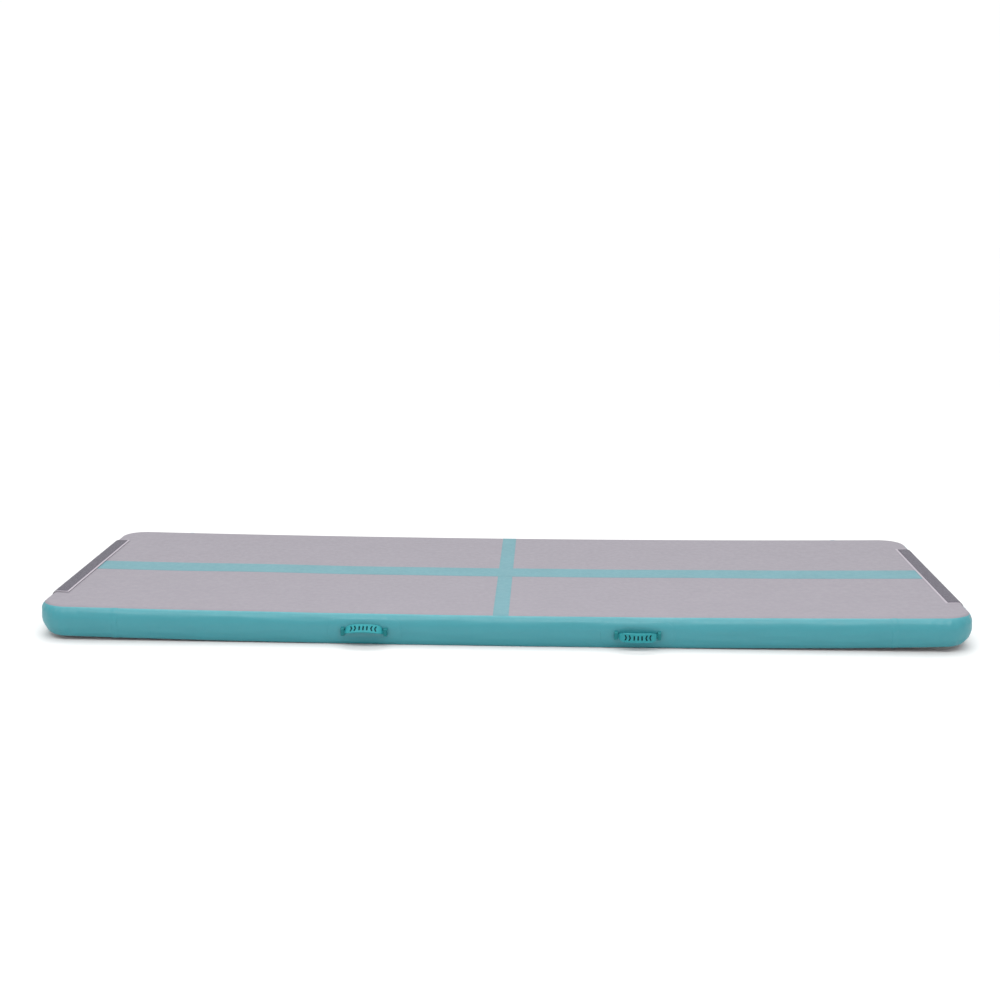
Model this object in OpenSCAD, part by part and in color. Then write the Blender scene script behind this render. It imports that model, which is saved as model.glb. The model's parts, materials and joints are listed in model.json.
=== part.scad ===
// Inflatable air track mat: drop-stitch core, welded skins and side walls,
// end fastener strips, four swinging carry handles and an inflation valve in the rear wall.
// Millimetres. X runs along the mat, Y across it, Z up; the origin is the middle of the underside.

/* [Mat] */
// Overall length over the end walls
mat_length = 3000; // [2600:100:4000]
// Overall width over the side walls
mat_width = 1000; // [900:50:2000]
// Thickness of the inflated mat
mat_thickness = 100; // [100:5:150]
// Corner radius in plan, at the fullest line of the wall
corner_radius = 100; // [80:5:150]
// How far the side wall bulges out past the flat sheets
side_bulge = 25; // [15:1:35]
// Squareness of the bulge: 2 is an ellipse, more is boxier
bulge_power = 2.4; // [2:0.1:3]

/* [Sheets] */
// Thickness of the outer coated sheets and wall panels
skin = 0.9; // [0.6:0.1:1.2]
// Thickness of the inner wall liner and of the stitched base cloths
liner = 0.7; // [0.4:0.1:0.9]
// Width of the seam flap that the liner tucks under the flat sheets
flap = 25; // [15:1:30]
// Distance between neighbouring stitch threads
thread_pitch = 100; // [50:10:200]
// Radius of one bundle of stitch threads
thread_radius = 0.8; // [0.5:0.1:1.5]
// Distance of each wall panel's end from the middle of the mat
wall_seam_x = 1242; // [900:2:1300]
// Overlap of the end panels over the side panels
wall_lap = 14; // [8:1:30]

/* [Guide lines] */
// Width of the lengthwise beam line
beam_line_width = 100; // [50:10:150]
// Width of the line across the middle
cross_line_width = 50; // [30:5:80]
// Thickness of the bonded line film
line_film = 0.4; // [0.2:0.1:0.6]

/* [End fasteners] */
// Length of the fastener strip across the end
fastener_length = 650; // [400:10:760]
// Distance of its inner edge from the overall end of the mat
fastener_inset = 55; // [40:5:90]
// Thickness of the fastener's pile
fastener_pile = 2; // [1:0.5:3]
// Thickness of the welded backing under the pile
fastener_backing = 0.8; // [0.5:0.1:1]
// Width of backing left showing round the pile
fastener_margin = 7; // [4:1:12]

/* [Handles] */
// Distance of each handle's centre from the middle of the mat
handle_x = 433; // [300:1:700]
// Length of the welded patch behind a handle
patch_length = 235; // [200:5:300]
// Height of the patch
patch_height = 80; // [60:2:84]
// Distance between the two pivots, over the grip's legs
grip_span = 120; // [110:2:150]
// Height of the grip band
grip_height = 30; // [24:1:32]
// Thickness of the grip band
grip_thick = 5; // [4:0.5:6]
// How far the grip stands out from its pivots
grip_reach = 22; // [18:1:28]
// Height of the pivots above the ground
pivot_height = 47; // [44:1:54]
// Tilt of the left pair of grips above level
left_grip_tilt = 50; // [-50:5:50]
// Tilt of the right pair of grips above level
right_grip_tilt = 0; // [-50:5:50]

/* [Valve] */
// Distance of the valve from the middle of the rear wall
valve_x = 1100; // [600:10:1180]
// Radius of the socket that takes a pump hose
socket_radius = 19.5; // [18:0.5:20]
// Depth of that socket
socket_depth = 9; // [8:0.5:10]
// Spring turns on the valve stem
spring_turns = 5; // [3:1:6]

/* [Hidden] */
$fn = 64;

half = mat_thickness / 2;
flat_length = mat_length - 2 * side_bulge;
flat_width = mat_width - 2 * side_bulge;
flat_radius = corner_radius - side_bulge;
arc_steps = 30;
wall_end = flat_length / 2 - flat_radius;
wall_side = flat_width / 2 - flat_radius;

teal = "mediumturquoise";
grey = "silver";
pile_grey = "dimgray";
cream = "gainsboro";
valve_grey = "slategray";
rubber_black = "#333333";

// ---- side wall profile: x is outward from the flat sheet's edge, y is up from mid height ----

// Every layer of the wall uses the same steps, so that layers meet face to face
function bulge_point(step, inset) = let (angle = 180 * step / arc_steps) [
    (side_bulge - inset) * pow(sin(angle), 2 / bulge_power),
    (half - inset) * sign(cos(angle)) * pow(abs(cos(angle)), 2 / bulge_power)];

function bulge_arc(inset, first, last) =
    [for (i = [0:abs(last - first)]) bulge_point(first + i * sign(last - first), inset)];

// Layer of the wall between two insets, from one step of its arc to another
module band(outer_inset, inner_inset, first = 0, last = arc_steps)
    polygon(concat(bulge_arc(outer_inset, first, last), bulge_arc(inner_inset, last, first)));

module filled_profile(inset)
    polygon(concat([[-60, inset - half], [-60, half - inset]], bulge_arc(inset, 0, arc_steps)));

// ---- sweeps that carry a wall profile round the mat's edge ----

module along_front(x0, x1)
    translate([x1, -flat_width / 2, half])
        rotate([90, 0, -90]) linear_extrude(x1 - x0) children();

module along_rear(x0, x1) mirror([0, 1, 0]) along_front(x0, x1) children();

module along_right(y0, y1)
    translate([flat_length / 2, y1, half])
        rotate([90, 0, 0]) linear_extrude(y1 - y0) children();

module round_corner(start)
    translate([wall_end, sign(start + 45) * wall_side, half])
        rotate([0, 0, start]) rotate_extrude(angle = 90) translate([flat_radius, 0]) children();

module right_half_edge(x0) {
    along_front(x0, wall_end) children();
    along_rear(x0, wall_end) children();
    along_right(-wall_side, wall_side) children();
    round_corner(-90) children();
    round_corner(0) children();
}

module rounded_sheet(length, width, radius, height)
    linear_extrude(height) hull_free_rectangle(length, width, radius);

// Rounded rectangle from exact circles and squares
module hull_free_rectangle(length, width, radius) {
    square([length - 2 * radius, width], center = true);
    square([length, width - 2 * radius], center = true);
    for (sx = [-1, 1])
        for (sy = [-1, 1])
            translate([sx * (length / 2 - radius), sy * (width / 2 - radius)]) circle(radius);
}

// ---- core, skins and walls ----

module flat_skin(z)
    translate([0, 0, z]) rounded_sheet(flat_length, flat_width, flat_radius, skin);

module base_cloth(z)
    translate([0, 0, z])
        rounded_sheet(flat_length - 2 * flap, flat_width - 2 * flap, flat_radius - flap, liner);

module bottom_skin() color(grey) flat_skin(0);

module top_skin() color(grey) flat_skin(mat_thickness - skin);

module bottom_base_cloth() color("white") base_cloth(skin);

module top_base_cloth() color("white") base_cloth(mat_thickness - skin - liner);

module stitch_threads() {
    clear = 75;
    rows = floor((flat_width / 2 - clear) / thread_pitch);
    columns = floor((flat_length / 2 - clear) / thread_pitch);
    low = skin + liner;
    color("white")
        for (i = [-columns:columns])
            for (j = [-rows:rows])
                translate([i * thread_pitch, j * thread_pitch, low])
                    cylinder(r = thread_radius, h = mat_thickness - 2 * low, $fn = 16);
}

// Tape that bridges the liner's flap and the base cloth, inside the mat
module seam_tape(z) {
    tape = 0.5;
    reach = 20;
    color(cream) translate([0, 0, z]) linear_extrude(tape) difference() {
        hull_free_rectangle(flat_length - 2 * flap + 2 * reach,
                            flat_width - 2 * flap + 2 * reach, flat_radius - flap + reach);
        hull_free_rectangle(flat_length - 2 * flap - 2 * reach,
                            flat_width - 2 * flap - 2 * reach, flat_radius - flap - reach);
    }
}

module bottom_seam_tape() seam_tape(skin + liner);

module top_seam_tape() seam_tape(mat_thickness - skin - liner - 0.5);

// Inner layer of the double wall, with a flap under each flat sheet
module side_liner() {
    outer = half - skin;
    inner = outer - liner;
    module liner_profile() polygon(concat(
        [[-flap, outer]], bulge_arc(skin, 0, arc_steps), [[-flap, -outer], [-flap, -inner]],
        bulge_arc(skin + liner, arc_steps, 0), [[-flap, inner]]));
    color(cream) difference() {
        union() {
            right_half_edge(0) liner_profile();
            mirror([1, 0, 0]) right_half_edge(0) liner_profile();
        }
        valve_hole();
    }
}

module front_side_panel() color(teal) along_front(-wall_seam_x, wall_seam_x) band(0, skin);

module rear_side_panel() color(teal) difference() {
    along_rear(-wall_seam_x, wall_seam_x) band(0, skin);
    valve_hole();
}

// End panel: wraps both corners and laps over the ends of the side panels
module end_panel() {
    root = 2;
    first = 3;
    right_half_edge(wall_seam_x) band(0, skin);
    along_front(wall_seam_x - wall_lap, wall_seam_x + root) band(-skin, 0, first, arc_steps - first);
    along_rear(wall_seam_x - wall_lap, wall_seam_x + root) band(-skin, 0, first, arc_steps - first);
}

module left_end_panel() color(teal) mirror([1, 0, 0]) end_panel();

module right_end_panel() color(teal) end_panel();

// ---- guide lines ----

module line_film_piece(length, width)
    translate([0, 0, mat_thickness]) linear_extrude(line_film) square([length, width], center = true);

module beam_line() {
    length = mat_length - 2 * (fastener_inset + fastener_margin);
    color(teal) line_film_piece(length, beam_line_width);
}

module cross_line() {
    length = (flat_width - beam_line_width) / 2;
    translate([0, -(flat_width - length) / 2, 0]) line_film_piece(cross_line_width, length);
}

module front_cross_line() color(teal) cross_line();

module rear_cross_line() color(teal) mirror([0, 1, 0]) cross_line();

// ---- end fasteners: a strip that runs over the edge of the end wall ----

module over_edge_profile(low, high, inset, last) {
    flat_part = inset - side_bulge;
    polygon(concat([[-flat_part, half + high]], bulge_arc(-high, 0, last),
                   bulge_arc(-low, last, 0), [[-flat_part, half + low]]));
}

// Step of the wall's arc at which the pile ends
pile_last = 8;

module fastener_backing_strip() {
    reach = fastener_length / 2 + fastener_margin;
    color(cream) along_right(-reach, reach)
        over_edge_profile(0, fastener_backing, fastener_inset + fastener_margin, pile_last + 1);
}

module fastener_pile_strip() {
    top = fastener_backing + fastener_pile;
    color(pile_grey) along_right(-fastener_length / 2, fastener_length / 2)
        over_edge_profile(fastener_backing, top, fastener_inset, pile_last);
}

module right_fastener_backing() fastener_backing_strip();

module right_loop_strip() fastener_pile_strip();

module left_fastener_backing() mirror([1, 0, 0]) fastener_backing_strip();

module left_hook_strip() mirror([1, 0, 0]) fastener_pile_strip();

// ---- handles: local x along the wall, y outward from the fullest line, z up from mid height ----

patch_thick = 1.2;
pivot_out = 9;
pivot_drop = pivot_height - mat_thickness / 2;
pin_radius = 4;
pin_clearance = 0.08;
hub_wall = 2;
leg_x = grip_span / 2;
leg_gap = 0.5;
anchor_x = leg_x + 2 + leg_gap;
anchor_length = 11;
anchor_height = 26;
slot_pitch = 12.2;
slot_width = 4.6;
slot_height = 19;
chevron_lean = 4;
grip_power = 3.5;

module at_handle(side_x, side_y) {
    mirror([0, side_y > 0 ? 1 : 0, 0])
        translate([side_x * handle_x, -mat_width / 2, half]) mirror([0, 1, 0]) children();
}

module handle_patch() {
    first = 4;
    color(teal) intersection() {
        translate([patch_length / 2, -side_bulge, 0]) mirror([0, 1, 0]) rotate([90, 0, -90])
            linear_extrude(patch_length) band(-patch_thick, 0, first, arc_steps - first);
        rotate([90, 0, 0]) linear_extrude(3 * side_bulge, center = true)
            hull_free_rectangle(patch_length, patch_height, patch_height * 0.42);
    }
}

// Lug that holds one end of the grip, welded to the patch
module handle_anchor() {
    round_over = 5;
    bore_length = anchor_length - 3;
    difference() {
        translate([anchor_x, 0, 0]) rotate([90, 0, 90]) linear_extrude(anchor_length) difference() {
            translate([pivot_out / 2 + patch_thick, pivot_drop])
                hull_free_rectangle(pivot_out + 2 * pin_radius + 2, anchor_height, round_over);
            translate([-side_bulge, 0]) filled_profile(-patch_thick);
        }
        translate([anchor_x - 1, pivot_out, pivot_drop]) rotate([0, 90, 0])
            cylinder(r = pin_radius + pin_clearance, h = bore_length + 1);
    }
}

module handle_anchors() color(teal) {
    handle_anchor();
    mirror([1, 0, 0]) handle_anchor();
}

// Half of the grip band's plan, as a superellipse of a given span and reach
function grip_curve(span, reach) = [for (i = [0:40]) let (angle = 180 * i / 40)
    [span * sign(cos(angle)) * pow(abs(cos(angle)), 2 / grip_power),
     reach * pow(sin(angle), 2 / grip_power)]];

module grip_plan() {
    inner = grip_curve(leg_x - grip_thick, grip_reach - grip_thick / 2);
    outer = grip_curve(leg_x, grip_reach + grip_thick / 2);
    polygon(concat(outer, [for (i = [40:-1:0]) inner[i]]));
}

// End view of the grip: narrow at the pivots, full height once clear of the wall
module grip_end_view() {
    root = pin_radius + hub_wall;
    reach = grip_reach + grip_thick;
    tall = grip_height / 2;
    widens_at = 12;
    polygon([[0, -root], [widens_at, -tall], [reach, -tall],
             [reach, tall], [widens_at, tall], [0, root]]);
}

module grip_slot(lean)
    polygon([[-lean - slot_width / 2, -slot_height / 2], [-lean + slot_width / 2, -slot_height / 2],
             [slot_width / 2, 0], [-lean + slot_width / 2, slot_height / 2],
             [-lean - slot_width / 2, slot_height / 2], [-slot_width / 2, 0]]);

module grip_slots() {
    for (i = [-1:1])
        translate([i * slot_pitch, 0]) square([slot_width, slot_height * 0.8], center = true);
    for (side = [-1, 1])
        for (i = [2, 3])
            translate([side * i * slot_pitch, 0]) mirror([side > 0 ? 1 : 0, 0]) grip_slot(chevron_lean);
}

module handle_grip(tilt) {
    pin_length = anchor_length - 4 + leg_gap;
    hub_length = grip_thick + 2;
    color(teal) translate([0, pivot_out, pivot_drop]) rotate([tilt, 0, 0]) {
        difference() {
            intersection() {
                linear_extrude(grip_height, center = true) grip_plan();
                rotate([90, 0, 90]) linear_extrude(grip_span, center = true) grip_end_view();
            }
            translate([0, grip_reach + grip_thick, 0]) rotate([90, 0, 0])
                linear_extrude(3 * grip_thick) grip_slots();
        }
        for (side = [0, 1]) mirror([side, 0, 0]) {
            translate([leg_x - grip_thick, 0, 0]) rotate([0, 90, 0])
                cylinder(r = pin_radius + hub_wall, h = hub_length);
            translate([leg_x, 0, 0]) rotate([0, 90, 0])
                cylinder(r = pin_radius, h = 2 + pin_length);
        }
    }
}

// ---- valve: local z points out of the rear wall, z = 0 is the patch's flat face ----

valve_face = mat_width / 2 + patch_thick;
tube_radius = 21;
bore_radius = 17.5;
seat_depth = 30;
seat_thick = 3;
collar_radius = 23;
flange_radius = 31;
flange_thick = 3;
hub_radius = 5;
hub_height = 6;
stem_radius = 3;
stem_clearance = 0.1;
disc_gap = 0.05;
disc_thick = 3;
disc_radius = 16.5;
retainer_thick = 2;
retainer_radius = 10;
button_top = -3;
button_thick = 4;
button_radius = 8;
nut_outer = 30;
nut_top = -7.5;
nut_thick = 5;
ring_thick = 1.8;
cap_radius = 27;
cap_top_thick = 3;
cap_seal_thick = 0.6;
eye_low = 7.1;
eye_thick = 1.6;
strap_width = 8;
fold_out = 38.6;
fold_height = 5.85;
fold_radius = 2.85;

module at_valve() translate([valve_x, valve_face, half]) rotate([-90, 0, 0]) children();

module valve_hole() at_valve() translate([0, 0, -side_bulge])
    cylinder(r = tube_radius + 0.2, h = side_bulge * 2);

// The mat's outer surface, or one inset from it, as a solid beside the valve
module wall_solid(inset) along_rear(valve_x - 60, valve_x + 60) filled_profile(inset);

module ring(inner, outer, low, high) translate([0, 0, low]) difference() {
    cylinder(r = outer, h = high - low);
    translate([0, 0, -1]) cylinder(r = inner, h = high - low + 2);
}

// Welded patch that follows the wall, with a boss that gives the flange a flat seat
module valve_patch() {
    patch_radius = 45;
    boss_radius = flange_radius + 2.5;
    color(teal) difference() {
        union() {
            intersection() {
                along_rear(valve_x - patch_radius, valve_x + patch_radius) band(-patch_thick, 0);
                at_valve() translate([0, 0, -side_bulge]) cylinder(r = patch_radius, h = 2 * side_bulge);
            }
            difference() {
                at_valve() translate([0, 0, -8]) cylinder(r = boss_radius, h = 8);
                wall_solid(0);
            }
        }
        valve_hole();
    }
}

module valve_gasket() color(rubber_black) intersection() {
    at_valve() ring(tube_radius + 0.1, nut_outer, nut_top, 0);
    wall_solid(skin + liner);
}

module valve_nut() color(valve_grey) at_valve() difference() {
    ring(tube_radius + 0.1, nut_outer, nut_top - nut_thick, nut_top);
    for (i = [0:5])
        rotate([0, 0, 60 * i]) translate([nut_outer, 0, nut_top - nut_thick])
            cube([6, 8, 4], center = true);
}

// Flange, collar with the hose socket, tube, seat and the spider that guides the stem
module valve_body() color(valve_grey) at_valve() {
    rotate_extrude() polygon([
        [socket_radius, 0], [socket_radius, socket_depth], [collar_radius, socket_depth],
        [collar_radius, flange_thick], [flange_radius - 1, flange_thick],
        [flange_radius, flange_thick - 1], [flange_radius, 0], [tube_radius, 0],
        [tube_radius, -seat_depth], [14, -seat_depth], [14, seat_thick - seat_depth],
        [bore_radius, seat_thick - seat_depth], [bore_radius, 0]]);
    difference() {
        union() {
            translate([0, 0, -seat_depth]) cylinder(r = hub_radius, h = hub_height);
            for (i = [0:2])
                rotate([0, 0, 120 * i]) translate([0, -1.5, -seat_depth]) cube([15, 3, seat_thick]);
        }
        translate([0, 0, -seat_depth - 1])
            cylinder(r = stem_radius + stem_clearance, h = hub_height + 2);
    }
}

spring_low = hub_height - seat_depth + 0.1;
spring_high = button_top - button_thick - 0.1;

// Coil spring between the spider's hub and the button, swept along a helix
module valve_spring() {
    wire = 0.6;
    coil = 4.6;
    per_turn = 16;
    sides = 8;
    rise = spring_high - spring_low - 2 * wire;
    count = spring_turns * per_turn;
    rings = [for (i = [0:count]) let (turn = 360 * i / per_turn)
        [for (k = [0:sides - 1]) let (spin = 360 * k / sides, out = coil + wire * cos(spin))
            [out * cos(turn), out * sin(turn),
             spring_low + wire + rise * i / count + wire * sin(spin)]]];
    points = [for (one = rings) for (point = one) point];
    walls = [for (i = [0:count - 1]) for (k = [0:sides - 1]) let (next = (k + 1) % sides)
        [i * sides + k, i * sides + next, (i + 1) * sides + next, (i + 1) * sides + k]];
    ends = [[for (k = [sides - 1:-1:0]) k], [for (k = [0:sides - 1]) count * sides + k]];
    color("silver") at_valve() polyhedron(points, concat(walls, ends));
}

// Stem with a push button outside and a retaining knob inside
module valve_stem() {
    knob_top = -seat_depth - disc_gap - disc_thick - retainer_thick - 0.1;
    knob_thick = 2;
    color(valve_grey) at_valve() {
        translate([0, 0, knob_top - knob_thick])
            cylinder(r = stem_radius, h = button_top - knob_top + knob_thick - 1);
        translate([0, 0, knob_top - knob_thick]) cylinder(r = 5, h = knob_thick);
        difference() {
            translate([0, 0, button_top - button_thick]) cylinder(r = button_radius, h = button_thick);
            for (turn = [0, 90])
                rotate([0, 0, turn]) translate([0, 0, button_top]) cube([11, 2, 2], center = true);
        }
    }
}

module valve_seal_disc() color(rubber_black) at_valve()
    ring(stem_radius + stem_clearance, disc_radius,
         -seat_depth - disc_gap - disc_thick, -seat_depth - disc_gap);

module valve_disc_retainer() color(valve_grey) at_valve()
    ring(stem_radius + stem_clearance, retainer_radius,
         -seat_depth - disc_gap - disc_thick - retainer_thick, -seat_depth - disc_gap - disc_thick);

// Cap that fits over the collar, with a finger bar and a groove for the tether's eye
module valve_cap() {
    skirt_low = flange_thick + ring_thick + 0.2;
    crown_low = socket_depth + cap_seal_thick;
    crown = crown_low + cap_top_thick;
    bar_height = 5;
    bar_width = 7;
    bar_length = 40;
    color(valve_grey) at_valve() {
        rotate_extrude() polygon([
            [0, crown_low], [collar_radius + 0.3, crown_low], [collar_radius + 0.3, skirt_low],
            [cap_radius, skirt_low], [cap_radius, eye_low - 0.1],
            [cap_radius - 1.5, eye_low - 0.1], [cap_radius - 1.5, eye_low + eye_thick + 0.1],
            [cap_radius, eye_low + eye_thick + 0.1], [cap_radius, crown - 1], [cap_radius - 1, crown],
            [0, crown]]);
        translate([-bar_width / 2, -bar_length / 2, crown - 0.5])
            cube([bar_width, bar_length, bar_height + 0.5]);
    }
}

module valve_cap_seal() color(rubber_black) at_valve()
    ring(socket_radius + 0.3, collar_radius - 0.2, socket_depth + 0.02, socket_depth + cap_seal_thick);

// Turns the tether's local x to point along the rear wall, towards its middle
module at_tether() at_valve() rotate([0, 0, 180]) children();

module strap_leg(from, to, low, high)
    translate([from, -strap_width / 2, low]) cube([to - from, strap_width, high - low]);

module valve_tether_ring() {
    gap = 0.35;
    color(rubber_black) at_tether() {
        ring(collar_radius + 0.1, cap_radius, flange_thick, flange_thick + ring_thick);
        strap_leg(cap_radius - 1, fold_out - fold_radius - gap, flange_thick, flange_thick + ring_thick);
    }
}

// Eye that holds the cap by its groove, with the strap's fold as a round end
module valve_tether_eye() color(rubber_black) at_tether() {
    ring(cap_radius - 1.4, cap_radius + 2, eye_low, eye_low + eye_thick);
    strap_leg(cap_radius + 1, fold_out, eye_low, eye_low + eye_thick);
    translate([fold_out, 0, fold_height]) rotate([90, 0, 0])
        cylinder(r = fold_radius, h = strap_width, center = true);
}

// ---- what is drawn ----

bottom_skin();
top_skin();
bottom_base_cloth();
top_base_cloth();
stitch_threads();
bottom_seam_tape();
top_seam_tape();
side_liner();
front_side_panel();
rear_side_panel();
left_end_panel();
right_end_panel();
beam_line();
front_cross_line();
rear_cross_line();
left_fastener_backing();
left_hook_strip();
right_fastener_backing();
right_loop_strip();
at_handle(-1, -1) handle_patch();  // front_left_handle_patch
at_handle(-1, -1) handle_anchors();  // front_left_handle_anchors
at_handle(-1, -1) handle_grip(left_grip_tilt);  // front_left_handle_grip
at_handle(1, -1) handle_patch();  // front_right_handle_patch
at_handle(1, -1) handle_anchors();  // front_right_handle_anchors
at_handle(1, -1) handle_grip(right_grip_tilt);  // front_right_handle_grip
at_handle(-1, 1) handle_patch();  // rear_left_handle_patch
at_handle(-1, 1) handle_anchors();  // rear_left_handle_anchors
at_handle(-1, 1) handle_grip(left_grip_tilt);  // rear_left_handle_grip
at_handle(1, 1) handle_patch();  // rear_right_handle_patch
at_handle(1, 1) handle_anchors();  // rear_right_handle_anchors
at_handle(1, 1) handle_grip(right_grip_tilt);  // rear_right_handle_grip
valve_patch();
valve_gasket();
valve_nut();
valve_body();
valve_spring();
valve_stem();
valve_seal_disc();
valve_disc_retainer();
valve_cap();
valve_cap_seal();
valve_tether_ring();
valve_tether_eye();
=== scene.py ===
"""Looks of the air track mat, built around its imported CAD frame. Metres, the CAD's own frame."""
import json
import math

import bmesh
import bpy
import numpy as np
from mathutils import Matrix, Vector


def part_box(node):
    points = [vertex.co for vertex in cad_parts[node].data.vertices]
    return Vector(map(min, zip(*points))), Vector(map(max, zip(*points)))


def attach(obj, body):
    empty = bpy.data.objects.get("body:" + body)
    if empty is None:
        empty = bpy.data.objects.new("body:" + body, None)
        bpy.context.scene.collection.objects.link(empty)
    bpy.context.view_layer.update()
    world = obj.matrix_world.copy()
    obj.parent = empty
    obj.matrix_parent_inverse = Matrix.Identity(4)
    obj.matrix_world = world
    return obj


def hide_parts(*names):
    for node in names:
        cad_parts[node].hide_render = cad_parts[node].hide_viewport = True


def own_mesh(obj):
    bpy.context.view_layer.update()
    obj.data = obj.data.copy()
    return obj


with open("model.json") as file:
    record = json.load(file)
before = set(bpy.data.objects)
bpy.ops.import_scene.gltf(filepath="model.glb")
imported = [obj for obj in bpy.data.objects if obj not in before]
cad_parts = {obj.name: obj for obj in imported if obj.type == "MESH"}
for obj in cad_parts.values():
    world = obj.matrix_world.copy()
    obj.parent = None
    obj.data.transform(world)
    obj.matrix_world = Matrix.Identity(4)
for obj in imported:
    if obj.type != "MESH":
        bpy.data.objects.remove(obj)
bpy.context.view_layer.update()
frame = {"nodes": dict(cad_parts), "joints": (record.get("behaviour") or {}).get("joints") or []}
MM = 0.001

# ---------------------------------------------------------------- sizes, the first from the frame, the rest given

HALF_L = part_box("right_end_panel")[1].x          # half length over the end walls
HALF_W = -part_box("front_side_panel")[0].y        # half width over the side walls
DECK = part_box("top_skin")[1].z                   # height of the flat deck
HALF_H = DECK / 2
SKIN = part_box("bottom_skin")[1].z                # thickness of a coated sheet
SEAM_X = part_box("front_side_panel")[1].x         # where a side panel ends
LAP_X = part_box("right_end_panel")[0].x           # where an end panel's lap starts
CORNER = 100 * MM                                # plan radius at the fullest line
SIDE_ROLL = (42 * MM, 2.3)                       # depth and squareness of a long wall's upper roll
END_ROLL = (25 * MM, 2.6)                        # the same for an end wall
LOW_ROLL = (12 * MM, 32 * MM, 1.8)               # lower roll: side depth, end depth, squareness
LOW_EDGE = math.radians(9)                       # how far short of flat a wall ends underneath
SIDE_EDGE = 25 * MM                              # inset of a long wall's edge on the deck
END_EDGE = 9 * MM                                # inset of an end wall's edge
CURLS = (11.5 * MM, 13 * MM)                     # how far the left and right ends lift
TAPERS = (4 * MM, 9 * MM)                        # how much thinner the section is at each end

JOINTS = {joint["name"]: joint for joint in frame["joints"]}


def curl(x):
    """Lift of the whole section at a place x along the mat, whose ends rise slightly."""
    return np.where(np.asarray(x) < 0, *CURLS) * (np.asarray(x) / HALF_L) ** 2


def taper(x):
    """Lift of the underside above that, as the section thins a little towards its ends."""
    return np.where(np.asarray(x) < 0, *TAPERS) * (np.asarray(x) / HALF_L) ** 4


# ---------------------------------------------------------------- smooth seeded noise

def wave_noise(seed, count, shortest, longest):
    """A sum of plane waves over (u, v): a smooth random height of about unit size."""
    draw = np.random.default_rng(seed)
    length = np.exp(draw.uniform(math.log(shortest), math.log(longest), count))
    angle = draw.uniform(0, 2 * math.pi, count)
    phase = draw.uniform(0, 2 * math.pi, count)
    kx, ky = 2 * math.pi / length * np.cos(angle), 2 * math.pi / length * np.sin(angle)

    def height(u, v):
        u, v = np.broadcast_arrays(u, v)
        total = np.zeros(u.shape)
        for a, b, p in zip(kx, ky, phase):
            total += np.sin(a * u + b * v + p)
        return total * math.sqrt(2 / count)

    return height


def bump(x, centre, width):
    """A smooth hill of height 1 round a centre."""
    return np.exp(-((np.asarray(x) - centre) / width) ** 2)


def step(x, start, end):
    """0 before start, 1 after end, smooth between. Works both ways round."""
    t = np.clip((np.asarray(x) - start) / (end - start), 0, 1)
    return t * t * (3 - 2 * t)


# ---------------------------------------------------------------- the mat's skin as functions

STRAIGHT_X = HALF_L - CORNER
STRAIGHT_Y = HALF_W - CORNER
QUARTER = math.pi / 2 * CORNER
PERIMETER = 4 * (STRAIGHT_X + STRAIGHT_Y) + 4 * QUARTER
# Lengths along the outline, anticlockwise from above, from the middle of the front wall
FRONT_RIGHT = STRAIGHT_X
RIGHT = FRONT_RIGHT + QUARTER + STRAIGHT_Y       # the middle of the right end wall
REAR = PERIMETER / 2
LEFT = RIGHT + PERIMETER / 2


def outline(t):
    """Points and outward normals of the plan outline at lengths t along it."""
    t = np.mod(np.asarray(t, float), PERIMETER)
    half = t >= PERIMETER / 2
    s = np.where(half, t - PERIMETER / 2, t)
    x = np.zeros_like(s)
    y = np.zeros_like(s)
    nx = np.zeros_like(s)
    ny = np.zeros_like(s)
    marks = np.cumsum([STRAIGHT_X, QUARTER, 2 * STRAIGHT_Y, QUARTER, STRAIGHT_X])

    on = s < marks[0]
    x[on], y[on], ny[on] = s[on], -HALF_W, -1
    on = (s >= marks[0]) & (s < marks[1])
    angle = -math.pi / 2 + (s[on] - marks[0]) / CORNER
    nx[on], ny[on] = np.cos(angle), np.sin(angle)
    x[on], y[on] = STRAIGHT_X + CORNER * nx[on], -STRAIGHT_Y + CORNER * ny[on]
    on = (s >= marks[1]) & (s < marks[2])
    x[on], y[on], nx[on] = HALF_L, -STRAIGHT_Y + s[on] - marks[1], 1
    on = (s >= marks[2]) & (s < marks[3])
    angle = (s[on] - marks[2]) / CORNER
    nx[on], ny[on] = np.cos(angle), np.sin(angle)
    x[on], y[on] = STRAIGHT_X + CORNER * nx[on], STRAIGHT_Y + CORNER * ny[on]
    on = s >= marks[3]
    x[on], y[on], ny[on] = STRAIGHT_X - (s[on] - marks[3]), HALF_W, 1
    sign = np.where(half, -1.0, 1.0)
    return x * sign, y * sign, nx * sign, ny * sign


def roll(end, upper):
    """Depth and squareness of a wall's roll. end goes from 0, a long wall, to 1, an end wall."""
    depth = np.where(upper, SIDE_ROLL[0] + (END_ROLL[0] - SIDE_ROLL[0]) * end,
                     LOW_ROLL[0] + (LOW_ROLL[1] - LOW_ROLL[0]) * end)
    power = np.where(upper, SIDE_ROLL[1] + (END_ROLL[1] - SIDE_ROLL[1]) * end, LOW_ROLL[2])
    return depth, power


def profile(angle, end):
    """Inset, height and outward normal of the wall at angles from 0, the deck, to pi, the floor."""
    s, c = np.sin(angle), np.cos(angle)
    depth, power = roll(end, c >= 0)
    out, up = np.abs(s) ** (2 / power), np.abs(c) ** (2 / power)
    across = np.maximum(out, 1e-6) ** (power - 1) / depth
    along = np.maximum(up, 1e-6) ** (power - 1) / HALF_H
    size = np.hypot(across, along)
    inset, height = depth * (1 - out), HALF_H * (1 + np.sign(c) * up)
    return inset, height, across / size, np.sign(c) * along / size


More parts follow.
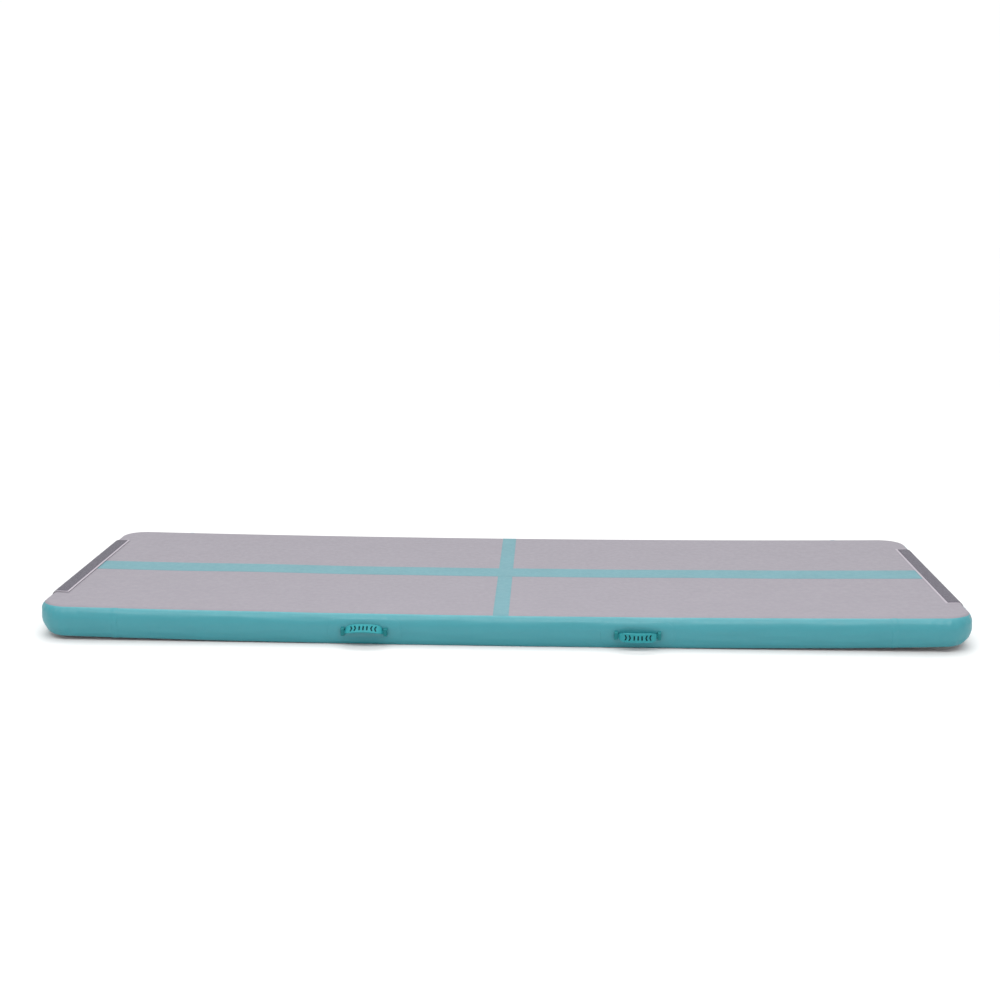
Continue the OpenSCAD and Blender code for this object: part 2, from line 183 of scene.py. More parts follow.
def edge_inset(nx, ny):
    """Inset of the wall's edge on the deck: deep along the sides, shallow at the ends."""
    side, end = CORNER - SIDE_EDGE, CORNER - END_EDGE
    return CORNER - 1 / np.sqrt((nx / end) ** 2 + (ny / side) ** 2)


def angle_at_inset(inset, end):
    """Profile angle on the upper roll at an inset."""
    depth, power = roll(end, True)
    return np.arcsin(np.clip(1 - inset / depth, 0, 1) ** (power / 2))


def angle_at_height(z, end=0.0):
    """Profile angle at a height above the floor."""
    share = (z - HALF_H) / HALF_H
    depth, power = roll(end, share >= 0)
    return np.arccos(np.clip(np.sign(share) * np.abs(share) ** (power / 2), -1, 1))


WAVES = 0.25 * MM                                # height of the wall's slow waves
PLEATS = 0.6 * MM                                # height of the pleats near its corners
SHOULDER = (math.radians(48), 0.42)              # place and width of the pleats, above and below
soft_wall = wave_noise(11, 14, 120 * MM, 600 * MM)
fine_wall = wave_noise(12, 24, 20 * MM, 70 * MM)


def corner_nearness(t):
    """1 at the middle of each plan corner, falling to 0 a little way along the straights."""
    first = FRONT_RIGHT + QUARTER / 2
    gap = np.inf
    for middle in (first, 2 * RIGHT - first):        # each stands for its opposite corner too
        along = np.mod(np.asarray(t) - middle + PERIMETER / 4, PERIMETER / 2) - PERIMETER / 4
        gap = np.minimum(gap, np.abs(along))
    return 1 - step(gap, 40 * MM, 240 * MM)


def wall_relief(t, angle):
    """Small unevenness of the wall: slow waves, and pleats at the shoulders near the corners."""
    place, width = SHOULDER
    shoulder = bump(angle, place, width) + bump(angle, math.pi - place, width)
    pleats = fine_wall(t, angle * 0.02) * corner_nearness(t)
    fade = np.sin(np.clip(angle, 0, math.pi)) ** 0.5
    return fade * (WAVES * soft_wall(t, angle * 0.3) + PLEATS * pleats * shoulder)


def wall_surface(t, angle, lift):
    """Points of the wall at lengths t and profile angles, lifted off the inner layer's face."""
    x, y, nx, ny = outline(t)
    inset, z, out, up = profile(angle, nx * nx)
    raise_by = lift + wall_relief(t, angle) - SKIN
    across = -inset + raise_by * out
    px, py = x + nx * across, y + ny * across
    thinner = taper(px) * np.clip(1 - z / HALF_H, 0, 1)
    return np.stack([px, py, z + raise_by * up + curl(px) + thinner], -1)


def inset_at(x, y):
    """How far a point of the deck is in from the plan outline."""
    dx = np.maximum(np.abs(x) - STRAIGHT_X, 0)
    dy = np.maximum(np.abs(y) - STRAIGHT_Y, 0)
    inner = np.minimum(HALF_L - np.abs(x), HALF_W - np.abs(y))
    return np.where((dx > 0) & (dy > 0), CORNER - np.hypot(dx, dy), inner)


SWELL = 0.5 * MM                                 # height of the deck's slow swell
deck_swell = wave_noise(21, 12, 350 * MM, 1200 * MM)


def end_share(x, y):
    """0 where the nearest wall is a long one, 1 where it is an end wall, between at a corner."""
    dx = np.maximum(np.abs(x) - STRAIGHT_X, 0)
    dy = np.maximum(np.abs(y) - STRAIGHT_Y, 0)
    return dx * dx / np.maximum(dx * dx + dy * dy, 1e-12)


def rolled_drop(x, y, upper):
    """How far a sheet has rolled away from flat, and how far it has gone under the wall's edge."""
    inset, end = inset_at(x, y), end_share(x, y)
    depth, power = roll(end, upper)
    share = np.clip(1 - inset / depth, 0, 1)
    drop = HALF_H * (1 - (1 - share ** power) ** (1 / power))
    if upper:
        edge = edge_inset(np.sqrt(end), np.sqrt(1 - end))
    else:
        edge = depth * (1 - math.sin(LOW_EDGE) ** (2 / LOW_ROLL[2]))
    return drop, SKIN * step(inset, edge + 6 * MM, edge + 1 * MM)


def deck_height(x, y, lift=0.0):
    """Height of the top sheet, which rolls down at its edge to run under the wall's edge."""
    drop, under = rolled_drop(x, y, True)
    swell = SWELL * (1 + deck_swell(x, y)) * step(inset_at(x, y), 30 * MM, 120 * MM)
    return DECK - drop - under + np.maximum(swell, 0) + lift + curl(x)


# ---------------------------------------------------------------- mesh helpers

def new_mesh(name, points, faces, smooth=True):
    mesh = bpy.data.meshes.new(name)
    mesh.from_pydata([tuple(p) for p in points], [], [tuple(f) for f in faces])
    mesh.validate()
    if smooth:
        mesh.polygons.foreach_set("use_smooth", [True] * len(mesh.polygons))
    mesh.update()
    obj = bpy.data.objects.new(name, mesh)
    bpy.context.scene.collection.objects.link(obj)
    return obj


def grid_faces(rows, columns, wrap=False):
    across = columns if wrap else columns - 1
    r, c = np.meshgrid(np.arange(rows - 1), np.arange(across), indexing="ij")
    here, below = r * columns, (r + 1) * columns
    after = (c + 1) % columns
    return np.stack([here + c, here + after, below + after, below + c], -1).reshape(-1, 4)


def closed_sheet(name, outer, inner, wrap=False, open_at=None):
    """A closed solid between two grids of points of the same shape (rows, columns, 3).

    open_at(points) is true where the sheet has an opening."""
    rows, columns = outer.shape[:2]
    count = rows * columns
    points = np.concatenate([outer.reshape(-1, 3), inner.reshape(-1, 3)])
    front = grid_faces(rows, columns, wrap)
    if open_at is not None:
        front = front[~open_at(points[front].mean(1))]
    start, end = front.ravel(), np.roll(front, -1, axis=1).ravel()
    rim = ~np.isin(start * count + end, end * count + start)
    start, end = start[rim], end[rim]
    faces = np.concatenate([front, front[:, ::-1] + count,
                            np.stack([end, start, start + count, end + count], -1)])
    used, faces = np.unique(faces, return_inverse=True)
    return new_mesh(name, points[used], faces.reshape(-1, 4))


def finish_piece(obj, material, body, slot, *nodes, sharp=40):
    """Gives a piece its material and its body, and hides the CAD nodes it stands for. Its slot is
    not used.
    """
    obj.data.materials.clear()
    obj.data.materials.append(material)
    if sharp:
        mark_sharp(obj, sharp)
    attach(obj, body)
    if nodes:
        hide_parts(*nodes)
    return obj


def mark_sharp(obj, degrees):
    """Edges that turn by more than this many degrees shade as creases."""
    form = bmesh.new()
    form.from_mesh(obj.data)
    limit = math.radians(degrees)
    for edge in form.edges:
        edge.smooth = not (edge.is_manifold and edge.calc_face_angle(0) > limit)
    form.to_mesh(obj.data)
    form.free()
    obj.data.polygons.foreach_set("use_smooth", [True] * len(obj.data.polygons))


def spaced(start, end, spacing):
    return np.linspace(start, end, max(2, int(round(abs(end - start) / spacing)) + 1))


def joined(*parts):
    """Runs of numbers laid end to end, without the doubled ends."""
    line = [parts[0]]
    for part in parts[1:]:
        line.append(part[1:])
    return np.concatenate(line)


# ---------------------------------------------------------------- materials

def material(name, build):
    mat = bpy.data.materials.new(name)
    mat.use_nodes = True
    nodes, links = mat.node_tree.nodes, mat.node_tree.links
    shader = nodes["Principled BSDF"]
    build(nodes, links, shader)
    return mat


def linear(red, green, blue):
    """An sRGB colour in 0 to 255 as linear values."""
    def one(v):
        v /= 255
        return v / 12.92 if v <= 0.04045 else ((v + 0.055) / 1.055) ** 2.4
    return (one(red), one(green), one(blue), 1)


def noise(nodes, links, vector, scale, detail=3, rough=0.5):
    node = nodes.new("ShaderNodeTexNoise")
    node.inputs["Scale"].default_value = scale
    node.inputs["Detail"].default_value = detail
    node.inputs["Roughness"].default_value = rough
    links.new(vector, node.inputs["Vector"])
    return node.outputs["Fac"]


def ramp(nodes, links, value, stops):
    node = nodes.new("ShaderNodeValToRGB")
    links.new(value, node.inputs["Fac"])
    elements = node.color_ramp.elements
    while len(elements) < len(stops):
        elements.new(0.5)
    for element, (place, colour) in zip(elements, stops):
        element.position = place
        element.color = colour
    return node.outputs["Color"]


def maths(nodes, links, operation, a, b=None):
    node = nodes.new("ShaderNodeMath")
    node.operation = operation
    for socket, value in zip(node.inputs, (a, b)):
        if value is None:
            continue
        if isinstance(value, (int, float)):
            socket.default_value = value
        else:
            links.new(value, socket)
    return node.outputs[0]


def coated_cloth(low, high, rough, shine=0.3, weave=1.1 * MM):
    """PVC-coated cloth: an embossed grain over a faint woven grid, with slow changes of tone."""
    def build(nodes, links, shader):
        place = nodes.new("ShaderNodeTexCoord").outputs["Object"]
        tone = noise(nodes, links, place, 9, 4, 0.6)
        colour = ramp(nodes, links, tone, [(0.3, low), (0.7, high)])
        links.new(colour, shader.inputs["Base Color"])
        grain = noise(nodes, links, place, 1 / (1.7 * MM), 2, 0.6)
        threads = []
        for axis in range(2):
            wave = nodes.new("ShaderNodeTexWave")
            wave.wave_type = "BANDS"
            wave.bands_direction = "XY"[axis]
            wave.inputs["Scale"].default_value = math.pi / 20 / weave     # a wave over two threads
            wave.inputs["Distortion"].default_value = 0.6
            wave.inputs["Detail"].default_value = 1
            links.new(place, wave.inputs["Vector"])
            threads.append(wave.outputs["Fac"])
        woven = maths(nodes, links, "MULTIPLY", threads[0], threads[1])
        height = maths(nodes, links, "ADD", grain, maths(nodes, links, "MULTIPLY", woven, 0.7))
        relief = nodes.new("ShaderNodeBump")
        relief.inputs["Strength"].default_value = 0.35
        relief.inputs["Distance"].default_value = 0.2 * MM
        links.new(height, relief.inputs["Height"])
        links.new(relief.outputs["Normal"], shader.inputs["Normal"])
        spread = ramp(nodes, links, noise(nodes, links, place, 60, 3), [
            (0.3, (rough - 0.05,) * 3 + (1,)), (0.7, (rough + 0.06,) * 3 + (1,))])
        links.new(spread, shader.inputs["Roughness"])
        shader.inputs["Specular IOR Level"].default_value = shine
    return build


def pile(low, high, pitch):
    """Hook-and-loop pile: tufts in rows, soft and dark between."""
    def build(nodes, links, shader):
        place = nodes.new("ShaderNodeTexCoord").outputs["Object"]
        cells = nodes.new("ShaderNodeTexVoronoi")
        cells.inputs["Scale"].default_value = 1 / pitch
        links.new(place, cells.inputs["Vector"])
        fuzz = maths(nodes, links, "MULTIPLY", noise(nodes, links, place, 300), 0.5)
        mixed = maths(nodes, links, "ADD", cells.outputs["Distance"], fuzz)
        colour = ramp(nodes, links, mixed, [(0.25, high), (0.95, low)])
        links.new(colour, shader.inputs["Base Color"])
        relief = nodes.new("ShaderNodeBump")
        relief.inputs["Strength"].default_value = 0.9
        relief.inputs["Distance"].default_value = 0.5 * MM
        relief.invert = True
        links.new(mixed, relief.inputs["Height"])
        links.new(relief.outputs["Normal"], shader.inputs["Normal"])
        shader.inputs["Roughness"].default_value = 0.95
        shader.inputs["Specular IOR Level"].default_value = 0.15
        shader.inputs["Sheen Weight"].default_value = 0.15
        shader.inputs["Sheen Roughness"].default_value = 0.5
    return build


def moulded(colour, other, rough, shine=0.5, grain=0.8, depth=0.05):
    """Moulded plastic or rubber: fine tool grain and slight changes of tone and gloss."""
    def build(nodes, links, shader):
        place = nodes.new("ShaderNodeTexCoord").outputs["Object"]
        tone = noise(nodes, links, place, 45, 4)
        links.new(ramp(nodes, links, tone, [(0.35, colour), (0.7, other)]),
                  shader.inputs["Base Color"])
        relief = nodes.new("ShaderNodeBump")
        relief.inputs["Strength"].default_value = 0.4
        relief.inputs["Distance"].default_value = depth * MM
        links.new(noise(nodes, links, place, 1 / (grain * MM), 2), relief.inputs["Height"])
        links.new(relief.outputs["Normal"], shader.inputs["Normal"])
        spread = ramp(nodes, links, noise(nodes, links, place, 90, 3), [
            (0.3, (rough - 0.06,) * 3 + (1,)), (0.7, (rough + 0.08,) * 3 + (1,))])
        links.new(spread, shader.inputs["Roughness"])
        shader.inputs["Specular IOR Level"].default_value = shine
    return build


def steel(nodes, links, shader):
    place = nodes.new("ShaderNodeTexCoord").outputs["Object"]
    links.new(ramp(nodes, links, noise(nodes, links, place, 400), [
        (0.3, (0.55, 0.55, 0.57, 1)), (0.7, (0.7, 0.7, 0.72, 1))]), shader.inputs["Base Color"])
    shader.inputs["Metallic"].default_value = 1.0
    links.new(ramp(nodes, links, noise(nodes, links, place, 900), [
        (0.3, (0.25,) * 3 + (1,)), (0.7, (0.4,) * 3 + (1,))]), shader.inputs["Roughness"])


def woven(low, high, pitch):
    """Plain woven cloth for the pieces inside."""
    def build(nodes, links, shader):
        place = nodes.new("ShaderNodeTexCoord").outputs["Object"]
        cells = nodes.new("ShaderNodeTexChecker")
        cells.inputs["Scale"].default_value = 1 / pitch
        links.new(place, cells.inputs["Vector"])
        mixed = maths(nodes, links, "ADD", cells.outputs["Fac"], noise(nodes, links, place, 500))
        colour = ramp(nodes, links, mixed, [(0.2, low), (0.9, high)])
        links.new(colour, shader.inputs["Base Color"])
        shader.inputs["Roughness"].default_value = 0.9
    return build


GREY = material("grey_coated_cloth",
                coated_cloth((0.21, 0.195, 0.223, 1), (0.219, 0.203, 0.232, 1), 0.5))
TEAL = material("teal_coated_cloth",
                coated_cloth((0.003, 0.196, 0.234, 1), (0.005, 0.212, 0.252, 1), 0.45, 0.9))
LINE = material("teal_line_film",
                coated_cloth((0.092, 0.222, 0.255, 1), (0.099, 0.238, 0.274, 1), 0.5))
BORDER = material("fastener_backing",
                  coated_cloth((0.32, 0.29, 0.33, 1), (0.35, 0.32, 0.36, 1), 0.5))
HOOKS = material("hook_pile", pile((0.05, 0.046, 0.06, 1), (0.17, 0.16, 0.195, 1), 1.6 * MM))
LOOPS = material("loop_pile", pile((0.055, 0.05, 0.065, 1), (0.18, 0.17, 0.205, 1), 2.2 * MM))
RUBBER = material("teal_moulded_rubber",
                  moulded((0.014, 0.215, 0.24, 1), (0.018, 0.236, 0.262, 1), 0.4, 0.25))
# Painted shade: the lugs get a darker copy of the grip's rubber, for the shade on their sides.
SHADED_LUG_RUBBER = material("lug_rubber_painted_shade",
                      moulded((0.005, 0.135, 0.147, 1), (0.007, 0.15, 0.162, 1), 0.4, 0.2))
# Painted shade: a near-black sheet behind each grip's cut-outs, for the shade in the gap behind the
# band.
SLOT_SHADE = material("painted_slot_shade",
                woven((0.002, 0.028, 0.033, 1), (0.005, 0.05, 0.058, 1), 1.2 * MM))
PLASTIC = material("valve_plastic", moulded(linear(78, 80, 84), linear(86, 88, 92), 0.38))
BLACK = material("black_rubber", moulded(linear(30, 30, 32), linear(40, 40, 42), 0.6))
CLOTH = material("base_cloth", woven(linear(205, 205, 200), linear(235, 235, 230), 1.2 * MM))
TAPE = material("seam_tape", coated_cloth(linear(200, 198, 190), linear(212, 210, 202), 0.55))
STEEL = material("spring_steel", steel)

# ---------------------------------------------------------------- the mat: deck, walls, underside

def deck_points(xs, ys, top, side_reach, end_reach):
    """A grid inside the plan outline, inset by one reach at the sides and another at the ends."""
    y, x = np.meshgrid(ys, xs, indexing="ij")
    ahead, aside = CORNER - end_reach, CORNER - side_reach
    dy = np.clip(np.abs(y) - STRAIGHT_Y, 0, aside)
    x_end = STRAIGHT_X + ahead * np.sqrt(np.maximum(1 - (dy / aside) ** 2, 0))
    # the middle columns keep their places, and the last stretch shrinks to the rounded end
    fixed = STRAIGHT_X - 50 * MM
    wide = HALF_L - end_reach
    over = np.abs(x) > fixed
    squeezed = fixed + (np.abs(x) - fixed) * (x_end - fixed) / (wide - fixed)
    x = np.where(over, np.sign(x) * squeezed, x)
    return np.stack([x, y, top(x, y)], -1)


def deck_axis(half, coarse):
    """Places across the whole mat, coarse in the middle and closer towards both edges."""
    near = joined(spaced(half - 120 * MM, half - 30 * MM, 4 * MM),
                  spaced(half - 30 * MM, half, 1.5 * MM))
    return joined(-near[::-1], spaced(-near[0], near[0], coarse), near)


def make_deck():
    side, end = SIDE_EDGE - 7 * MM, END_EDGE - 5 * MM
    xs, ys = deck_axis(HALF_L - end, 14 * MM), deck_axis(HALF_W - side, 12 * MM)
    outer = deck_points(xs, ys, deck_height, side, end)
    inner = deck_points(xs, ys, lambda x, y: deck_height(x, y, -SKIN), side, end)
    deck = closed_sheet("top_sheet", outer, inner)
    finish_piece(deck, GREY, "mat", "grey_pvc", "top_skin")


def underside_height(x, y, lift=0.0):
    """Height of the bottom sheet, whose edge runs inside the walls' lower edges."""
    drop, under = rolled_drop(x, y, False)
    return drop + 1.4 * under + lift + curl(x) + taper(x)


def make_underside():
    side, end = 8 * MM, 22 * MM
    xs, ys = deck_axis(HALF_L - end, 40 * MM), deck_axis(HALF_W - side, 40 * MM)
    lower = deck_points(xs, ys, underside_height, side, end)
    upper = deck_points(xs, ys, lambda x, y: underside_height(x, y, SKIN), side, end)
    bottom = closed_sheet("bottom_sheet", upper, lower)
    finish_piece(bottom, GREY, "mat", "grey_pvc", "bottom_skin")


def wall_grid(t):
    """Profile angles of a wall panel at lengths t, in rows from the deck's edge to underneath."""
    nx, ny = outline(t)[2:]
    top = angle_at_inset(edge_inset(nx, ny), nx * nx)[None, :]
    share = joined(np.linspace(0, 0.03, 5), np.linspace(0.03, 0.4, 22), np.linspace(0.4, 0.97, 26),
                   np.linspace(0.97, 1, 4))[:, None]
    return top + (math.pi - LOW_EDGE - top) * share, share + 0 * top


def wall_columns(start, end, fine_ranges):
    """Lengths along the outline, 9 mm apart, and 2.5 mm apart inside the fine ranges."""
    columns = [start]
    while columns[-1] < end - 1e-6:
        t = columns[-1]
        fine = any(a <= t < b for a, b in fine_ranges)
        columns.append(t + (2.5 * MM if fine else 9 * MM))
    columns = np.array(columns)
    return start + (columns - start) * (end - start) / (columns[-1] - start)


def edge_round(share):
    """Thickness of a panel across its rows: its last millimetre thins to a round edge."""
    t = np.clip(np.minimum(share, 1 - share) / 0.008, 0, 1)
    return SKIN * (0.15 + 0.85 * np.sqrt(1 - (1 - t) ** 2))


VALVE = Vector(JOINTS["valve_cap_turn"]["pos_m"])     # on the valve's axis, which runs along Y


def at_valve(points):
    """True for points of the rear wall where the valve goes through, under the valve's patch."""
    gap = np.hypot(points[:, 0] - VALVE.x, points[:, 2] - VALVE.z)
    return (gap < 29 * MM) & (points[:, 1] > 0)


def make_side_panel(name, node, middle):
    """A long side panel whose ends run under the end panels' laps."""
    start, end = middle - SEAM_X, middle + SEAM_X
    t = wall_columns(start, end, [(start, start + 200 * MM), (end - 200 * MM, end)])
    angle, share = wall_grid(t)
    t = t[None, :] + 0 * angle
    outer = wall_surface(t, angle, edge_round(share))
    inner = wall_surface(t, angle, -0.02 * MM)
    panel = closed_sheet(name, outer, inner, open_at=at_valve)
    finish_piece(panel, TEAL, "mat", "teal_pvc", node)


def make_end_panel(name, node, middle):
    """An end panel that wraps both corners and laps over the ends of the side panels."""
    half = RIGHT - LAP_X
    near = RIGHT - SEAM_X
    lap, bend = (near - 20 * MM, half), (360 * MM, 620 * MM)     # from the middle of the end wall
    fine = [(middle - b, middle - a) for a, b in (lap, bend)]
    fine += [(middle + a, middle + b) for a, b in (bend, lap)]
    t = wall_columns(middle - half, middle + half, fine)
    angle, share = wall_grid(t)
    t = t[None, :] + 0 * angle
    gap = np.abs(t - middle)
    over = SKIN * step(gap, near - 7 * MM, near)
    tip = 0.2 + 0.8 * np.sqrt(1 - np.clip(1 - (half - gap) / (1.2 * MM), 0, 1) ** 2)
    outer = wall_surface(t, angle, edge_round(share) * tip + over)
    inner = wall_surface(t, angle, over)
    panel = closed_sheet(name, outer, inner)
    finish_piece(panel, TEAL, "mat", "teal_pvc", node)


def make_liner():
    """The wall's inner layer, which turns in over the deck and the underside."""
    angle, t = np.meshgrid(np.linspace(0.06, math.pi - 0.06, 24),
                           np.linspace(0, PERIMETER, 700, endpoint=False), indexing="ij")
    outer = wall_surface(t, angle, -1.0 * MM - 0.25 * SKIN)
    inner = wall_surface(t, angle, -1.9 * MM)
    liner = closed_sheet("wall_liner", outer, inner, wrap=True, open_at=at_valve)
    finish_piece(liner, TAPE, "mat", "seam_tape", "side_liner")


def make_tape(name, node):
    """A flat ring of tape just inside the deck or the underside."""
    low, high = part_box(node)
    near, far = 48 * MM, 70 * MM
    rows = []
    for inset, z in ((near, high.z), (far, high.z), (far, low.z), (near, low.z)):
        t = np.linspace(0, PERIMETER, 500, endpoint=False)
        x, y, nx, ny = outline(t)
        px, py = x - nx * inset, y - ny * inset
        rows.append(np.stack([px, py, z + curl(px)], -1))
    points = np.array(rows + [rows[0]])
    count = len(rows) * points.shape[1]
    faces = grid_faces(len(rows) + 1, points.shape[1], wrap=True) % count
    tape = new_mesh(name, points[:-1].reshape(-1, 3), faces, smooth=False)
    finish_piece(tape, TAPE, "mat", "seam_tape", node, sharp=0)


# ---------------------------------------------------------------- guide lines and fastener strips

def deck_strip(name, node, x0, x1, y0, y1, thick):
    """A film on the deck, which follows its height."""
    xs, ys = spaced(x0, x1, 8 * MM), spaced(y0, y1, 4 * MM)
    edge = 0.6 * MM
    xs = np.unique(np.concatenate([xs, [x0 + edge, x1 - edge]]))
    ys = np.unique(np.concatenate([ys, [y0 + edge, y1 - edge]]))
    x, y = np.meshgrid(xs, ys)
    rim = np.minimum(np.minimum(x - x0, x1 - x), np.minimum(y - y0, y1 - y))
    lift = thick * (0.2 + 0.8 * step(rim, 0, edge))
    outer = np.stack([x, y, deck_height(x, y, lift)], -1)
    inner = np.stack([x, y, deck_height(x, y, -0.05 * MM)], -1)
    film = closed_sheet(name, outer, inner)
    finish_piece(film, LINE, "mat", "teal_line", node)


def make_lines():
    low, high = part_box("beam_line")
    deck_strip("beam_line_film", "beam_line", low.x, high.x, low.y, high.y, 0.6 * MM)
    gap = 0.7 * MM
    edge = HALF_W - SIDE_EDGE - 0.3 * MM
    for name in ("front_cross_line", "rear_cross_line"):
        low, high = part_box(name)
        y0, y1 = (-edge, high.y - gap) if high.y < 0 else (low.y + gap, edge)
        deck_strip(f"{name}_film", name, low.x, high.x, y0, y1, 0.5 * MM)


def over_edge(side, along, run, lift):
    """Points of a strip that runs over an end.

    run is its length on the flat deck, and the points' distances from the strip's inner edge."""
    arc = np.linspace(0, math.pi / 2, 60)
    inset, height = profile(arc, 1.0)[:2]
    length = np.concatenate([[0], np.cumsum(np.hypot(np.diff(inset), np.diff(height)))])
    flat, distance = run
    position = distance - flat
    angle = np.interp(position, length, arc)
    inset, z, out, up = profile(angle, 1.0)
    inset = inset + np.maximum(-position, 0)
    rise = lift + 0.2 * MM
    x = HALF_L - inset + rise * out
    z = z + rise * up + curl(x) + 0.4 * MM
    return np.stack([side * x, along + 0 * x, z], -1)


def make_strip(name, node, side, look, slot, thick, base, relief=None):
    """Backing or pile of an end fastener, closed, with its own small relief."""
    low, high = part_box(node)
    inner_edge = min(abs(low.x), abs(high.x))
    flat = HALF_L - END_ROLL[0] - inner_edge
    wrap = (30 if base else 34) * MM
    runs = spaced(0, flat + wrap, 2 * MM)
    alongs = spaced(low.y, high.y, 2.5 * MM)
    run, along = np.meshgrid(runs, alongs, indexing="ij")
    rim = np.minimum(np.minimum(run, flat + wrap - run), np.minimum(along - low.y, high.y - along))
    lift = base + thick * (0.25 + 0.75 * step(rim, 0, 2 * MM))
    if relief is not None:
        lift = lift + relief(run, along) * step(rim, 1 * MM, 4 * MM)
    outer = over_edge(side, along, (flat, run), lift)
    inner = over_edge(side, along, (flat, run), base - 0.1 * MM + 0 * lift)
    if side < 0:
        outer, inner = outer[:, ::-1], inner[:, ::-1]
    strip = closed_sheet(name, outer, inner)
    finish_piece(strip, look, "mat", slot, node)


def make_fasteners():
    tufts = wave_noise(31, 30, 4 * MM, 9 * MM)
    for side, end, pile_name, look in ((-1, "left", "hook", HOOKS), (1, "right", "loop", LOOPS)):
        make_strip(f"{end}_{pile_name}_backing", f"{end}_fastener_backing", side, BORDER,
                   "fastener_backing", 0.6 * MM, 0)
        make_strip(f"{end}_{pile_name}_pile", f"{end}_{pile_name}_strip", side, look,
                   "fastener_pile", 1.4 * MM, 0.6 * MM, lambda u, v: 0.12 * MM * tufts(u, v))


make_deck()
make_underside()
make_side_panel("front_wall", "front_side_panel", 0)
make_side_panel("rear_wall", "rear_side_panel", REAR)
make_end_panel("right_end_wall", "right_end_panel", RIGHT)
make_end_panel("left_end_wall", "left_end_panel", LEFT)
make_liner()
make_tape("top_tape", "top_seam_tape")
make_tape("bottom_tape", "bottom_seam_tape")
make_lines()
make_fasteners()

# ---------------------------------------------------------------- handles and the valve's patch

TILT = {"left": math.radians(50), "right": 0.0}  # how far each grip is swung up at rest
PATCH = (235 * MM, 80 * MM, 34 * MM)             # length, height and corner of a handle patch
ARCH = (57.5 * MM, 22 * MM, 5 * MM)              # half span, reach and thickness of a CAD grip
ARCH_DEPTH = 6.5 * MM                            # thickness of a grip with its moulded ribs
CAD_POWER, ARCH_POWER = 3.5, 2.3                 # squareness of a grip's plan, CAD and here
BAND_ROOT, BAND_HALF = 6 * MM, 15 * MM           # half height of a grip at its pivots, and in full
CAD_WIDENS, WIDENS = 12 * MM, 17 * MM            # reach where it has its full height, CAD and here


def make_patch(name, node, x, side, height_of_pivot):
    """A patch with round corners on a long wall. Its height is taken along the wall's section."""
    length, height, corner = PATCH
    steps = np.linspace(-1, 1, 61)
    along = np.sin(steps * math.pi / 2) * length / 2
    past = np.maximum(np.abs(along) - (length / 2 - corner), 0)
    half = height / 2 - corner + np.sqrt(np.maximum(corner ** 2 - past ** 2, 0))
    across = np.sin(np.linspace(-1, 1, 41) * math.pi / 2)[:, None] * half[None, :]
    angles = np.linspace(0.02, math.pi - 0.02, 400)
    inset, z = profile(angles, 0.0)[:2]
    girth = np.concatenate([[0], np.cumsum(np.hypot(np.diff(inset), np.diff(z)))])
    middle = np.interp(angle_at_height(height_of_pivot), angles, girth)
    angle = np.interp(middle - across, girth, angles)
    rim = np.minimum(half[None, :] - np.abs(across), (length / 2 - np.abs(along))[None, :])
    thick = 0.9 * MM * np.sqrt(1 - (1 - np.clip((rim + 0.15 * MM) / (1.3 * MM), 0, 1)) ** 2)
    t = (along + x if side < 0 else REAR - along - x)[None, :] + 0 * angle
    outer, inner = wall_surface(t, angle, SKIN + thick), wall_surface(t, angle, SKIN - 0.15 * MM)
    if side > 0:
        outer, inner = outer[:, ::-1], inner[:, ::-1]
    patch = closed_sheet(name, outer, inner)
    finish_piece(patch, TEAL, "mat", "teal_pvc", f"{node}_patch")


def softened(name, node, voxel, smoothing):
    """A copy of a CAD node as one skin with moulded, rounded edges."""
    obj = bpy.data.objects.new(name, frame["nodes"][node].data.copy())
    bpy.context.scene.collection.objects.link(obj)
    remesh = obj.modifiers.new("remesh", "REMESH")
    remesh.mode = "VOXEL"
    remesh.voxel_size = voxel
    smooth = obj.modifiers.new("smooth", "SMOOTH")
    smooth.factor = 0.5
    smooth.iterations = smoothing
    finished = obj.evaluated_get(bpy.context.evaluated_depsgraph_get())
    applied = bpy.data.meshes.new_from_object(finished)
    obj.modifiers.clear()
    obj.data = applied
    return obj


def vertices(obj):
    points = np.empty(len(obj.data.vertices) * 3)
    obj.data.vertices.foreach_get("co", points)
    return points.reshape(-1, 3)


def place_vertices(obj, points):
    obj.data.vertices.foreach_set("co", points.ravel())
    obj.data.update()


def arched(x, reach):
    """Turns a grip's squarish plan into an even arch. Points keep x and their depth in the band."""
    span, rise, thick = ARCH
    # the depth is -0.5 on the band's inner face and 0.5 on its outer one, found by halving
    low, high = np.full(x.shape, -3.0), np.full(x.shape, 3.0)
    for _ in range(40):
        depth = (low + high) / 2
        across, out = x / (span + thick * depth), reach / (rise + thick * depth)
        outside = across ** CAD_POWER + out ** CAD_POWER > 1
        low, high = np.where(outside, depth, low), np.where(outside, high, depth)
    share = np.clip(1 - (x / (span + thick * depth)) ** ARCH_POWER, 0, 1)
    return (rise + thick / 2 - ARCH_DEPTH * (0.5 - depth)) * share ** (1 / ARCH_POWER)


def half_height(reach, widens):
    """Half the height of a grip's band at a reach from its pivots."""
    return BAND_ROOT + (BAND_HALF - BAND_ROOT) * np.clip(reach / widens, 0, 1)


def turned(a, b, angle):
    """The vector (a, b) turned by an angle."""
    return a * math.cos(angle) - b * math.sin(angle), a * math.sin(angle) + b * math.cos(angle)


